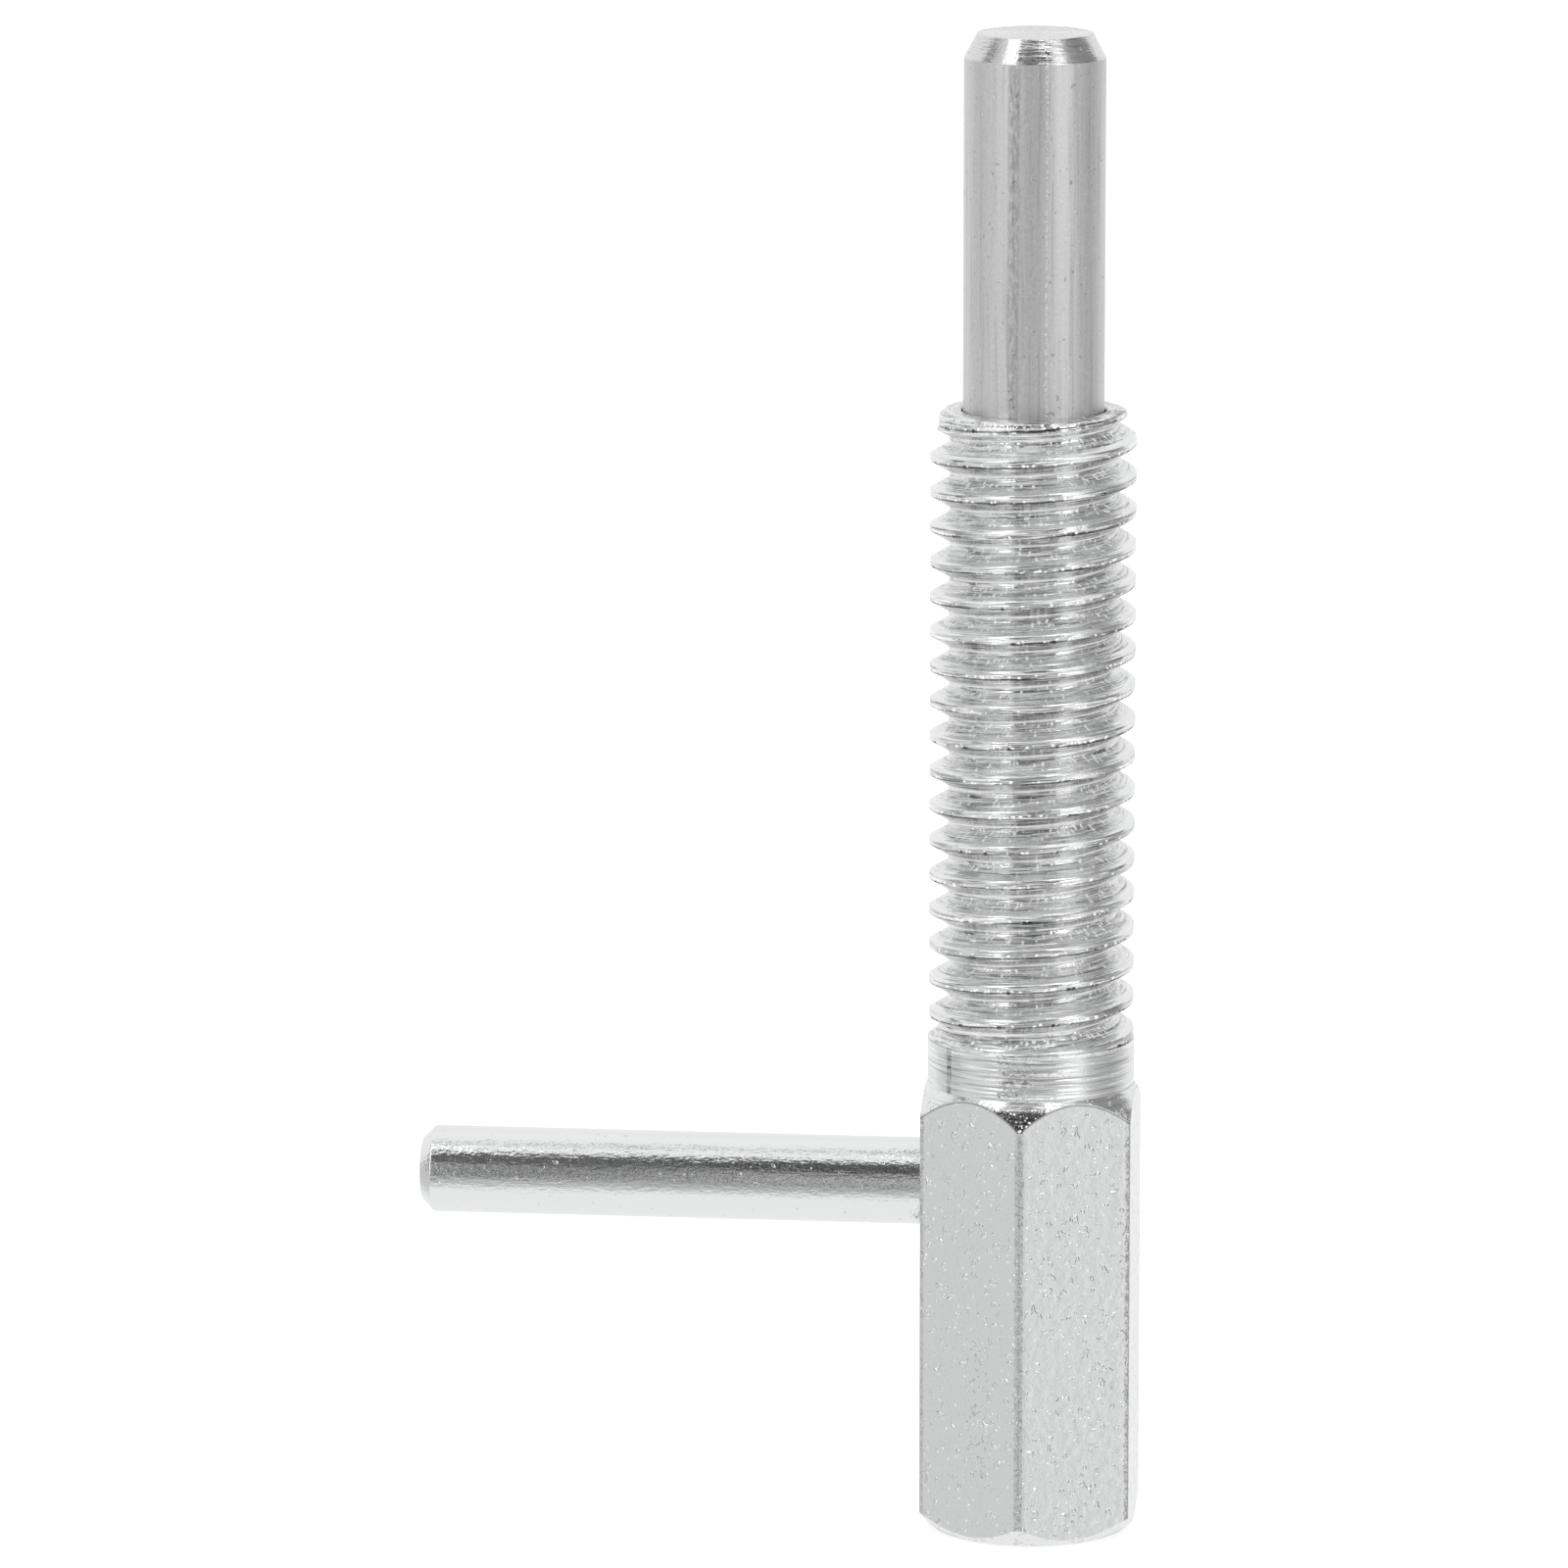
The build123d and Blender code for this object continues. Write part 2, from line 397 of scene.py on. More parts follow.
def finish_material(nodes, finish, metal, dark, roughness, height, bright=None):
    """Metal that goes to the dark colour where it is dark, for real marks and painted shade, and to
    matt white where it is bright, for painted highlights.

    The height of its relief is in millimetres.
    """
    inputs = {"Strength": 1.0, "Distance": MM, "Height": height}
    bump = nodes.add("ShaderNodeBump", None, inputs, "Normal")
    base = nodes.mix_colour(nodes.clamp(dark), rgba(metal), rgba(finish.dirt_and_painted_shade))
    metallic = 1.0
    # Painted highlights: where bright, the metal turns to matt white
    if bright is not None:
        bright = nodes.clamp(bright)
        base = nodes.mix_colour(bright, base, rgba(finish.painted_glint_white))
        metallic = 1 - bright
    inputs = {"Base Color": base, "Metallic": metallic, "Roughness": roughness, "Normal": bump}
    surface = nodes.add("ShaderNodeBsdfPrincipled", None, inputs, "BSDF")
    nodes.add("ShaderNodeOutputMaterial", None, {"Surface": surface})


def round_place(nodes, place):
    """Radius, angle round the axis and height of a point."""
    x, y, z = nodes.axes(place)
    radius = nodes.math("SQRT", x * x + y * y)
    turn = nodes.math("ARCTAN2", y, x)
    return radius, turn, z


def plated_hexagon(finish, body):
    """Bright plating over the drawn flats, with its orange peel, pits and rough corners, painted shade
    on the slopes of its bumps and painted highlights.
    """
    made, nodes, place = material("Plated hexagon")
    radius, turn, z = round_place(nodes, place)
    x = nodes.axes(place)[0]
    patch_across = (-2.35, -1.65)
    patch_heights = (3.4, 8.6)
    corner_edges = (5.37, 5.42)
    torn_edges = (4.92, 5.0)
    torn_turns = (-1.86, -1.26)
    peel = nodes.noise(place, 2.2, EVEN, 1.0)
    grain = nodes.noise(place, 9.0, EVEN, 2.0)
    bumps = nodes.rise(nodes.noise(place, 2.6, SOFT, 3.0), 0.62, 0.7)
    pits = nodes.rise(nodes.noise(place, 3.4, SOFT, 4.0), 0.66, 0.74)
    # White specks on the flats that become painted highlights
    specks = nodes.domes(place, 2.1, 0.2, 1.0)
    patch = nodes.band(x, *patch_across, 0.4) * nodes.band(z, *patch_heights, 1.5)
    patch = patch * nodes.rise(turn, 0.0, -0.5)
    holes = nodes.rise(nodes.noise(place, 5.5, EVEN, 30.0), 0.57, 0.65) * patch
    corner = nodes.rise(radius, *corner_edges)
    steep = math.tan(body.shoulder_angle)
    cone = body.collar_bottom / MM - (radius - body.collar_radius / MM) / steep
    beyond = z - cone
    shoulder = nodes.rise(beyond, -0.05, -0.02)
    arris = nodes.band(beyond, -0.11, -0.04, 0.03) * (1 - shoulder)
    speckle = nodes.rise(nodes.noise(place, 7.5, CRISP, 5.0), 0.48, 0.66)
    rings = nodes.noise(nodes.vector(turn * 0.2, radius, z), 6.0, BUSY, 6.0)
    # Patch on the front of the shoulder that is roughened, darkened and flecked with painted
    # highlights
    torn = shoulder * nodes.rise(radius + speckle * 0.12, *torn_edges)
    torn = torn * nodes.band(turn, *torn_turns, 0.04)
    rough = nodes.clamp(corner + torn)
    height = peel * 0.014 + grain * 0.003 + bumps * 0.03 - pits * 0.012 - holes * 0.02
    height = height + rough * speckle * 0.03 + shoulder * rings * 0.02
    # The bumps' slopes are darkened as painted shade; pits, grain and pit holes are darkened as marks
    dark = pits * 0.06 + bumps * (1 - bumps) * 0.12 + nodes.rise(grain, 0.5, 0.3) * 0.08 + holes * 0.25
    dark = dark + corner * (0.16 + nodes.rise(speckle, 0.0, 0.6) * 0.2) + arris * 0.45
    dark = dark + torn * 0.9 + shoulder * nodes.rise(rings, 0.46, 0.36) * 0.25
    # Painted highlights: white flecks in the shoulder patch and white specks on the flats
    painted_glints = torn * nodes.rise(speckle, 0.66, 0.9) + specks * 0.6
    roughness = 0.14 + grain * 0.08
    finish_material(nodes, finish, finish.plating, dark, roughness, height, painted_glints)
    return made


def plated_collar(finish):
    """Bright plating over turned rings, with a scratch, a patch of marks and painted highlights on the
    rings.
    """
    made, nodes, place = material("Plated collar")
    turn, z = round_place(nodes, place)[1:]
    half_scratch = 0.02
    rings = nodes.noise(nodes.vector(turn * 0.06, 0.0, z), 4.5, EVEN, 7.0)
    fine = nodes.noise(nodes.vector(turn * 0.16, 0.0, z), 7.0, EVEN, 8.0)
    grain = nodes.noise(place, 7.0, EVEN, 9.0)
    marks = nodes.rise(nodes.noise(place, 3.2, BUSY, 10.0), 0.5, 0.6)
    marks = marks * nodes.band(turn, finish.marks_from, finish.marks_to, 0.06)
    wander = (nodes.noise(nodes.vector(0.0, 0.0, z), 1.2, BUSY, 11.0) - 0.5) * 0.05
    scratch_edges = (finish.scratch_turn - half_scratch, finish.scratch_turn + half_scratch)
    scratch = nodes.band(turn + wander, *scratch_edges, 0.03)
    scratch = scratch * (0.4 + nodes.rise(grain, 0.4, 0.6) * 0.6)
    height = rings * 0.06 + fine * 0.035 + grain * 0.006 - marks * 0.03 - scratch * 0.03
    dark = marks * 0.5 + scratch * 0.6 + nodes.rise(fine, 0.46, 0.38) * 0.34
    # Painted highlights along the turned rings
    painted_glints = nodes.rise(fine, 0.55, 0.64) * 0.6 + nodes.rise(rings, 0.6, 0.68) * 0.4
    painted_glints = painted_glints * nodes.rise(grain, 0.25, 0.55)
    roughness = 0.18 + grain * 0.1
    finish_material(nodes, finish, finish.plating, dark, roughness, height, painted_glints)
    return made


def plated_thread(finish, body):
    """Bright plating over the cut thread, with striations along it and torn crests, painted shade in
    its grooves and painted highlights.
    """
    made, nodes, place = material("Plated thread")
    radius, turn, z = round_place(nodes, place)
    pitch = body.thread_pitch / MM
    crest_radius = body.major_radius / MM
    phase = (z - body.collar_top / MM) / pitch - (turn - body.thread_start) / (2 * math.pi)
    groove = nodes.math("ROUND", phase)
    across = (phase - groove) * pitch
    along = (turn + groove * (2 * math.pi)) * crest_radius
    lines = nodes.noise(nodes.vector(along * 0.03, across, radius), 5.0, EVEN, 12.0)
    fine = nodes.noise(nodes.vector(along * 0.06, across, radius), 9.0, EVEN, 13.0)
    grain = nodes.noise(place, 7.0, EVEN, 14.0)
    dots = nodes.domes(nodes.vector(along, across, 0.0), 4.0, 0.48)
    patches = nodes.noise(nodes.vector(along, across * 2.0, 0.0), 0.6, CRISP, 15.0)
    dots = dots * nodes.rise(patches, 0.34, 0.44)
    row = nodes.band(across, 0.67, 0.78, 0.03)
    foot = nodes.band(across, -0.3, -0.14, 0.03)
    # Painted highlight: a bright line along the root's upper corner
    edge = nodes.band(across, 0.1, 0.19, 0.02) * nodes.rise(patches, 0.25, 0.4)
    near = nodes.rise(body.mouth_height / MM - z, 1.3, 1.0)
    waves = nodes.noise(place, 2.2, EVEN, 29.0) * near
    root = nodes.band(across, -0.42, 0.05, 0.04)
    flank = nodes.band(across, 0.3, 0.6, 0.05)
    # White dots that become painted highlights, thickest in rows on the crest and near the root
    sparkle = dots * (0.12 + row + foot * 0.8 + root * 0.3)
    # Thin line of painted shade along the crest's lower edge
    under = nodes.band(across, 0.6, 0.65, 0.03)
    nicks = nodes.rise(nodes.noise(nodes.vector(along, 0.0, 0.0), 1.3, CRISP, 16.0), 0.58, 0.64)
    nicks = nicks * nodes.band(across, 0.55, 0.7, 0.03)
    polished = nodes.band(across, -0.62, -0.46, 0.05)
    torn = 1 - polished * 0.75
    height = lines * 0.07 + fine * torn * 0.045 + grain * 0.006 + waves * 0.12
    height = height + sparkle * 0.03 - nicks * 0.03
    # Painted shade: the line under the crest, and a darker root and downward-facing flank; nicks and
    # striations are darkened as marks
    dark = under * 0.6 + nicks * 0.8 + nodes.rise(lines, 0.46, 0.36) * torn * 0.3
    dark = dark + nodes.rise(fine, 0.47, 0.37) * torn * 0.42 + root * 0.1 + flank * 0.16
    # Painted highlights: the dots, bright striations and the line at the root's corner
    painted_glints = sparkle * 2.0 + nodes.rise(fine, 0.55, 0.63) * torn * 0.6 + edge * 0.9
    roughness = 0.07 + grain * 0.05
    finish_material(nodes, finish, finish.plating, dark, roughness, height, painted_glints)
    return made


def ground_steel(finish, pin):
    """Satin steel with fine lines along the pin and turned rings on its chamfer, with a painted dark
    reflection band and painted highlights.
    """
    made, nodes, place = material("Ground steel")
    radius, turn, z = round_place(nodes, place)
    x, y = nodes.axes(place)[:2]
    chamfer_foot = (PIN_HIGH.z - pin.tip_chamfer_length) / MM
    half_band = 0.05
    half_ridge = 0.01
    lines = nodes.noise(nodes.vector(x, y, z * 0.02), 5.0, BUSY, 17.0)
    grain = nodes.noise(place, 8.0, BUSY, 18.0)
    specks = nodes.rise(nodes.noise(place, 3.6, SOFT, 19.0), 0.68, 0.74)
    rings = nodes.noise(nodes.vector(turn * 0.2, radius, z), 9.0, BUSY, 20.0)
    chamfer = nodes.rise(z, chamfer_foot - 0.04, chamfer_foot + 0.05)
    # Painted dark reflection: a band along the pin at one turn, broken up by noise
    painted_dark_band = nodes.band(turn, finish.painted_band_turn - half_band, finish.painted_band_turn + half_band, 0.06)
    band_noise = nodes.noise(nodes.vector(turn * 6.0, 0.0, z * 0.5), 4.0, BUSY, 28.0)
    painted_dark_band = painted_dark_band * nodes.rise(band_noise, 0.3, 0.6)
    ridge = nodes.band(turn, finish.ridge_turn - half_ridge, finish.ridge_turn + half_ridge, 0.012)
    ridge = ridge * nodes.rise(nodes.noise(nodes.vector(0.0, 0.0, z), 4.0, BUSY, 26.0), 0.46, 0.6)
    height = lines * 0.012 + grain * 0.006 - specks * 0.01 + rings * chamfer * 0.03 + ridge * 0.015
    # White dots that become painted highlights
    points = nodes.domes(place, 2.2, 0.14, 1.0)
    # Darkened specks and lines as marks, plus the painted dark reflection band
    dark = specks * 0.3 + nodes.rise(lines, 0.52, 0.3) * 0.2 + painted_dark_band * 0.36
    dark = (dark + nodes.rise(grain, 0.5, 0.3) * 0.12) * (1 - chamfer)
    dark = dark + nodes.rise(rings, 0.46, 0.36) * chamfer * 0.3
    # Painted highlights: white dots, the line on the ridge and bright grain
    painted_glints = points * 0.5 + ridge * 0.25 + nodes.rise(grain, 0.58, 0.7) * 0.2
    roughness = 0.36 + grain * 0.12 - chamfer * 0.3
    finish_material(nodes, finish, finish.ground, dark, roughness, height, painted_glints)
    return made


def plated_rod(finish):
    """Bright plating over a drawn rod, with streaks along it."""
    made, nodes, place = material("Plated rod")
    x, y, z = nodes.axes(place)
    lines = nodes.noise(nodes.vector(x * 0.1, y, z), 3.2, BUSY, 21.0)
    short = nodes.noise(nodes.vector(x * 0.3, y, z), 7.0, CRISP, 22.0)
    grain = nodes.noise(place, 7.0, EVEN, 23.0)
    pits = nodes.rise(nodes.noise(place, 3.4, SOFT, 24.0), 0.7, 0.76)
    height = lines * 0.014 + short * 0.022 + grain * 0.012 - pits * 0.015
    dark = pits * 0.2
    roughness = 0.03 + grain * 0.03
    finish_material(nodes, finish, finish.plating, dark, roughness, height)
    return made


def drawn_wire(finish):
    """Grey drawn spring wire."""
    made, nodes, place = material("Drawn wire")
    fine = nodes.noise(place, 9.0, BUSY, 25.0)
    finish_material(nodes, finish, finish.wire, fine * 0.4, 0.3 + fine * 0.15, fine * 0.005)
    return made


def geometry_tree(name, sizes):
    """Geometry tree with one named input for each size, and what those inputs are known by."""
    tree = bpy.data.node_groups.new(name, "GeometryNodeTree")
    known_by = {}
    for label, value in sizes.items():
        kind = "NodeSocketInt" if isinstance(value, int) else "NodeSocketFloat"
        socket = tree.interface.new_socket(label, in_out="INPUT", socket_type=kind)
        socket.default_value = value
        known_by[label] = socket.identifier
    tree.interface.new_socket("Geometry", in_out="OUTPUT", socket_type="NodeSocketGeometry")
    nodes = Nodes(tree)
    entry = tree.nodes.new("NodeGroupInput")
    inputs = {label: Value(nodes, entry.outputs[label]) for label in sizes}
    return nodes, inputs, known_by


def end_tree(nodes, geometry, finishes):
    """Ends a tree: loose copies made real, then the finish of each region."""
    geometry = nodes.add("GeometryNodeRealizeInstances", None, {"Geometry": geometry})
    for chosen, finish in finishes:
        inputs = {"Geometry": geometry, "Material": finish}
        if chosen is not None:
            inputs["Selection"] = chosen
        geometry = nodes.add("GeometryNodeSetMaterial", None, inputs)
    nodes.add("NodeGroupOutput", None, {"Geometry": geometry})


def linked(name, vertices, faces):
    """Object in the scene, with a mesh of its own."""
    mesh = bpy.data.meshes.new(name)
    mesh.from_pydata(vertices, [], faces)
    piece = bpy.data.objects.new(name, mesh)
    bpy.context.scene.collection.objects.link(piece)
    return piece


def sizes_of(group, *left_out):
    """Values of a group's properties, under the names that the sidebar shows."""
    names = [name for name in type(group).__annotations__ if name not in left_out]
    return {group.bl_rna.properties[name].name: getattr(group, name) for name in names}


def plain(piece):
    """Turns what an object's modifiers make into its own plain mesh."""
    graph = bpy.context.evaluated_depsgraph_get()
    mesh = bpy.data.meshes.new_from_object(piece.evaluated_get(graph), depsgraph=graph)
    piece.modifiers.clear()
    piece.data = mesh
    return piece


def grow(name, nodes, known_by, sizes):
    """Object whose mesh a geometry tree makes from its sizes."""
    piece = linked(name, [], [])
    modifier = piece.modifiers.new("Shape", "NODES")
    modifier.node_group = nodes.tree
    for label, value in sizes.items():
        modifier[known_by[label]] = value
    return plain(piece)


def strip(nodes, columns, rows, place):
    """Grid wrapped round the axis: place gives radius, angle and height from turn and row."""
    inputs = {"Size X": 1.0, "Size Y": 1.0, "Vertices X": columns + 1, "Vertices Y": rows + 1}
    grid = nodes.add("GeometryNodeMeshGrid", None, inputs)
    x, y = nodes.axes(nodes.add("GeometryNodeInputPosition"))[:2]
    row = nodes.math("ROUND", (y + 0.5) * rows)
    position = nodes.round_point(*place(x + 0.5, row))
    return nodes.add("GeometryNodeSetPosition", None, {"Geometry": grid, "Position": position})


def stations(nodes, row, pairs):
    """Radius and height at a row, from a list of (radius, height) pairs."""
    found = []
    for part in range(2):
        inputs = {index + 1: pair[part] for index, pair in enumerate(pairs)}
        inputs["Index"] = row
        settings = {"data_type": "FLOAT", "items": len(pairs)}
        found.append(nodes.add("GeometryNodeIndexSwitch", settings, inputs))
    return found


def body_tree(sizes, finishes):
    """Tree of the hexagon, collar and threaded barrel with their bores and slot."""
    nodes, given, known_by = geometry_tree("Threaded body", sizes)
    columns = given["Columns"]
    flat = given["Across flats"] / 2
    corner_rounding = given["Corner rounding"]
    collar_bottom = given["Collar bottom"]
    collar_top = given["Collar top"]
    collar_radius = given["Collar radius"]
    rear_radius = given["Rear face radius"]
    major = given["Crest radius"]
    minor = given["Root radius"]
    pitch = given["Pitch"]
    mouth_height = given["Mouth height"]
    mouth_radius = given["Mouth radius"]
    lead_radius = given["Lead radius"]
    bore = given["Bore radius"]
    stem_bore = given["Stem bore radius"]
    stem_bore_end = given["Rear wall"]
    root_rounding = given["Root rounding"]
    crest_rounding = given["Crest rounding"]
    full_turn = 2 * math.pi
    sixth = math.pi / 3
    half_sixth = math.pi / 6

    def even_angle(turn):
        """Angle of a column, evenly spaced."""
        return given["Start angle"] + turn * full_turn

    def hexagon_edge(turn):
        """Angle and radius of a column on the rounded hexagon, closer together at its corners."""
        even = even_angle(turn)
        sector = nodes.math("ROUND", even / sixth)
        local = even - sector * sixth
        step = abs(local) / half_sixth
        tangent = nodes.math("ARCTANGENT", (flat - corner_rounding) * math.tan(half_sixth) / flat)
        knee = 10 / 12
        past_knee = knee + 0.001
        near = step * tangent / knee
        far = tangent + (half_sixth - tangent) * (step - knee) / (1 - knee)
        at_corner = step > past_knee
        bent = nodes.mix(at_corner, near, far)
        straight_radius = flat / nodes.math("COSINE", bent)
        centre = (flat - corner_rounding) / math.cos(half_sixth)
        from_corner = half_sixth - bent
        across = centre * nodes.math("SINE", from_corner)
        rest = nodes.math("MAXIMUM", corner_rounding * corner_rounding - across * across, 0.0)
        arc_radius = centre * nodes.math("COSINE", from_corner) + nodes.math("SQRT", rest)
        edge = nodes.mix(at_corner, straight_radius, arc_radius)
        return sector * sixth + bent * nodes.math("SIGN", local), edge

    def head(turn, row):
        """Rear face, chamfer, flats, shoulder and collar, then back down the bores."""
        turned, edge = hexagon_edge(turn)
        edge_break = 0.05 * MM
        break_out = 0.03 * MM
        break_up = 0.035 * MM
        first_ring = 0.1 * MM
        front = collar_bottom - (edge - collar_radius) / nodes.math("TANGENT", given["Shoulder angle"])
        pairs = [
            (0.0, 0.0),
            (rear_radius - edge_break, 0.0),
            (rear_radius + break_out, break_up),
            (edge, edge - rear_radius),
            (edge, front),
            (collar_radius, collar_bottom),
            (collar_radius, collar_bottom + first_ring),
            (collar_radius, collar_top),
            (bore, collar_top),
            (bore, collar_bottom),
            (stem_bore, collar_bottom),
            (stem_bore, stem_bore_end),
            (0.0, stem_bore_end),
        ]
        radius, height = stations(nodes, row, pairs)
        last_hexagon_row = 6
        on_hexagon = row < last_hexagon_row + 0.5
        return radius, nodes.mix(on_hexagon, even_angle(turn), turned), height

    flank_angle = math.radians(60)
    slope = math.tan(flank_angle / 2)
    half_root = given["Root flat"] / 2
    half_groove = half_root + (major - minor) * slope
    root_start = half_root - root_rounding * slope
    crest_start = half_groove + crest_rounding * slope
    root_end = root_start + root_rounding * math.sin(flank_angle)
    crest_end = crest_start - crest_rounding * math.sin(flank_angle)
    root_steps = 4
    flank_steps = 6
    crest_steps = 3
    root_bends = [math.sin(flank_angle * step / root_steps) for step in range(root_steps + 1)]
    crest_bends = [math.sin(flank_angle * step / crest_steps) for step in range(crest_steps, -1, -1)]
    rises = [0.0, root_start * 0.5]
    rises += [root_start + root_rounding * bend for bend in root_bends]
    rises += [nodes.mix(step / flank_steps, root_end, crest_end) for step in range(1, flank_steps)]
    rises += [crest_start - crest_rounding * bend for bend in crest_bends]
    rises += [(crest_start + pitch / 2) / 2, pitch / 2]
    rises += [pitch - rise for rise in rises[-2:0:-1]]
    per_turn = len(rises)

    def arc(beyond, radius):
        """Height of a rounding over its centre, at a distance beyond its start."""
        beyond = nodes.math("MAXIMUM", beyond, 0.0)
        squared = radius * radius
        return nodes.math("SQRT", nodes.math("MAXIMUM", squared - beyond * beyond, squared / 4))

    def groove_radius(off_root):
        """Radius of the cut at a height above or below the middle of its root."""
        root = minor + root_rounding - arc(off_root - root_start, root_rounding)
        flank = minor + (off_root - half_root) / slope
        crest = major - crest_rounding + arc(crest_start - off_root, crest_rounding)
        return nodes.math("MINIMUM", nodes.math("MAXIMUM", root, flank), crest)

    def thread(turn, row):
        """Thread whose rows follow the helix, cut off at the collar and at the mouth."""
        turned = even_angle(turn)
        settings = {"data_type": "FLOAT", "items": per_turn}
        inputs = {index + 1: rise for index, rise in enumerate(rises)}
        inputs["Index"] = row % per_turn
        lift = nodes.add("GeometryNodeIndexSwitch", settings, inputs)
        begun = nodes.math("FLOOR", (row + 0.5) / per_turn)
        raw = collar_top + pitch * (begun - 1.0 + turn) + lift
        height = nodes.clamp(raw, collar_top, mouth_height)
        phase = (height - collar_top) / pitch - turn
        off_root = abs(phase - nodes.math("ROUND", phase)) * pitch
        groove = groove_radius(off_root)
        runout = pitch * given["Run-out turns"]
        fade = minor + (major - minor) * (1.0 - (height - collar_top) / runout)
        cut = nodes.math("MAXIMUM", groove, fade)
        crest_depth = 0.15 * MM
        on_crest = nodes.rise(cut, major - crest_depth, major)
        spot = nodes.round_point(major, turned, height)
        dents = nodes.rise(nodes.noise(spot, given["Nick scale"], BUSY, given["Seed"]), 0.55, 0.75)
        cut = cut - dents * on_crest * given["Nick depth"]
        below = mouth_height - height
        rounding = lead_radius - mouth_radius
        inset = nodes.math("MAXIMUM", rounding - below, 0.0)
        rest = nodes.math("MAXIMUM", rounding * rounding - inset * inset, 0.0)
        taper = nodes.math("MAXIMUM", below - given["Lead length"], 0.0)
        radius = nodes.math("MINIMUM", cut, mouth_radius + nodes.math("SQRT", rest) + taper)
        return nodes.mix(row < 0.5, radius, collar_radius), turned, height

    def mouth(turn, row):
        """Flat mouth and the bore down to the collar."""
        edge = 0.05 * MM
        pairs = [
            (mouth_radius, mouth_height),
            (bore + edge, mouth_height),
            (bore, mouth_height - edge),
            (bore, collar_top),
        ]
        radius, height = stations(nodes, row, pairs)
        return radius, even_angle(turn), height

    def welded(geometry):
        """Geometry whose points that meet are made one."""
        inputs = {"Geometry": geometry, "Distance": 0.001 * MM}
        return nodes.add("GeometryNodeMergeByDistance", None, inputs)

    head_rows = 12
    mouth_rows = 3
    solid = welded(strip(nodes, columns, head_rows, head))
    span = given["Slot front end"] - given["Slot rear end"]
    middle = (given["Slot front end"] + given["Slot rear end"]) / 2
    inputs = {"Width": given["Slot width"], "Height": span}
    outline = nodes.add("GeometryNodeCurvePrimitiveQuadrilateral", {"mode": "RECTANGLE"}, inputs)
    just_under_half = 0.4999
    end_radius = given["Slot width"] * just_under_half
    inputs = {"Curve": outline, "Count": SLOT_END_STEPS, "Radius": end_radius}
    outline = nodes.add("GeometryNodeFilletCurve", {"mode": "POLY"}, inputs)
    outside = nodes.vector(-6.0 * MM, 0.0, middle)
    near_axis = nodes.vector(-0.0005 * MM, 0.0, middle)
    inputs = {"Start": outside, "End": near_axis}
    run = nodes.add("GeometryNodeCurvePrimitiveLine", {"mode": "POINTS"}, inputs)
    inputs = {"Curve": run, "Profile Curve": outline, "Fill Caps": True}
    cutter = nodes.add("GeometryNodeCurveToMesh", None, inputs)
    settings = {"operation": "DIFFERENCE", "solver": "EXACT"}
    solid = nodes.add("GeometryNodeMeshBoolean", settings, {"Mesh 1": solid, "Mesh 2": cutter})
    height = nodes.axes(nodes.add("GeometryNodeInputPosition"))[2]
    cap = abs(height - collar_top) < 0.002 * MM
    inputs = {"Geometry": solid, "Selection": cap}
    solid = nodes.add("GeometryNodeDeleteGeometry", {"domain": "FACE"}, inputs)
    turns = nodes.math("CEIL", (mouth_height - collar_top) / pitch) + 1
    barrel = strip(nodes, columns, turns * per_turn, thread)
    inside = strip(nodes, columns, mouth_rows, mouth)
    whole = nodes.add("GeometryNodeJoinGeometry", None, {"Geometry": [inside, barrel, solid]})
    whole = welded(whole)
    regions = [
        (None, finishes["thread"]),
        (height < collar_top, finishes["collar"]),
        (height < collar_bottom, finishes["hexagon"]),
    ]
    end_tree(nodes, whole, regions)
    return nodes, known_by


def spring_tree(sizes, finish):
    """Tree of a coil spring with closed ends."""
    nodes, given, known_by = geometry_tree("Coil spring", sizes)
    closed = given["Closed turns"]
    active = given["Active turns"]
    wire = given["Wire radius"]
    line = nodes.add("GeometryNodeCurvePrimitiveLine", {"mode": "POINTS"})
    line = nodes.add("GeometryNodeResampleCurve", None, {"Curve": line, "Count": COIL_POINTS})
    along = nodes.add("GeometryNodeInputIndex") / (COIL_POINTS - 1)
    turn = along * (2 * closed + active)
    start = given["Rear end"] + wire
    end = given["Front end"] - wire
    closed_pitch = 2 * wire
    active_pitch = (end - start - 2 * closed * closed_pitch) / active
    rise_rear = nodes.math("MINIMUM", turn, closed) * closed_pitch
    rise_active = nodes.clamp(turn - closed, 0.0, active) * active_pitch
    rise_front = nodes.math("MAXIMUM", turn - closed - active, 0.0) * closed_pitch
    height = start + rise_rear + rise_active + rise_front
    place = nodes.round_point(given["Coil radius"], turn * (2 * math.pi), height)
    coil = nodes.add("GeometryNodeSetPosition", None, {"Geometry": line, "Position": place})
    inputs = {"Resolution": WIRE_SIDES, "Radius": wire}
    section = nodes.add("GeometryNodeCurvePrimitiveCircle", {"mode": "RADIUS"}, inputs)
    inputs = {"Curve": coil, "Profile Curve": section, "Fill Caps": True}
    tube = nodes.add("GeometryNodeCurveToMesh", None, inputs)
    end_tree(nodes, tube, [(None, finish)])
    return nodes, known_by


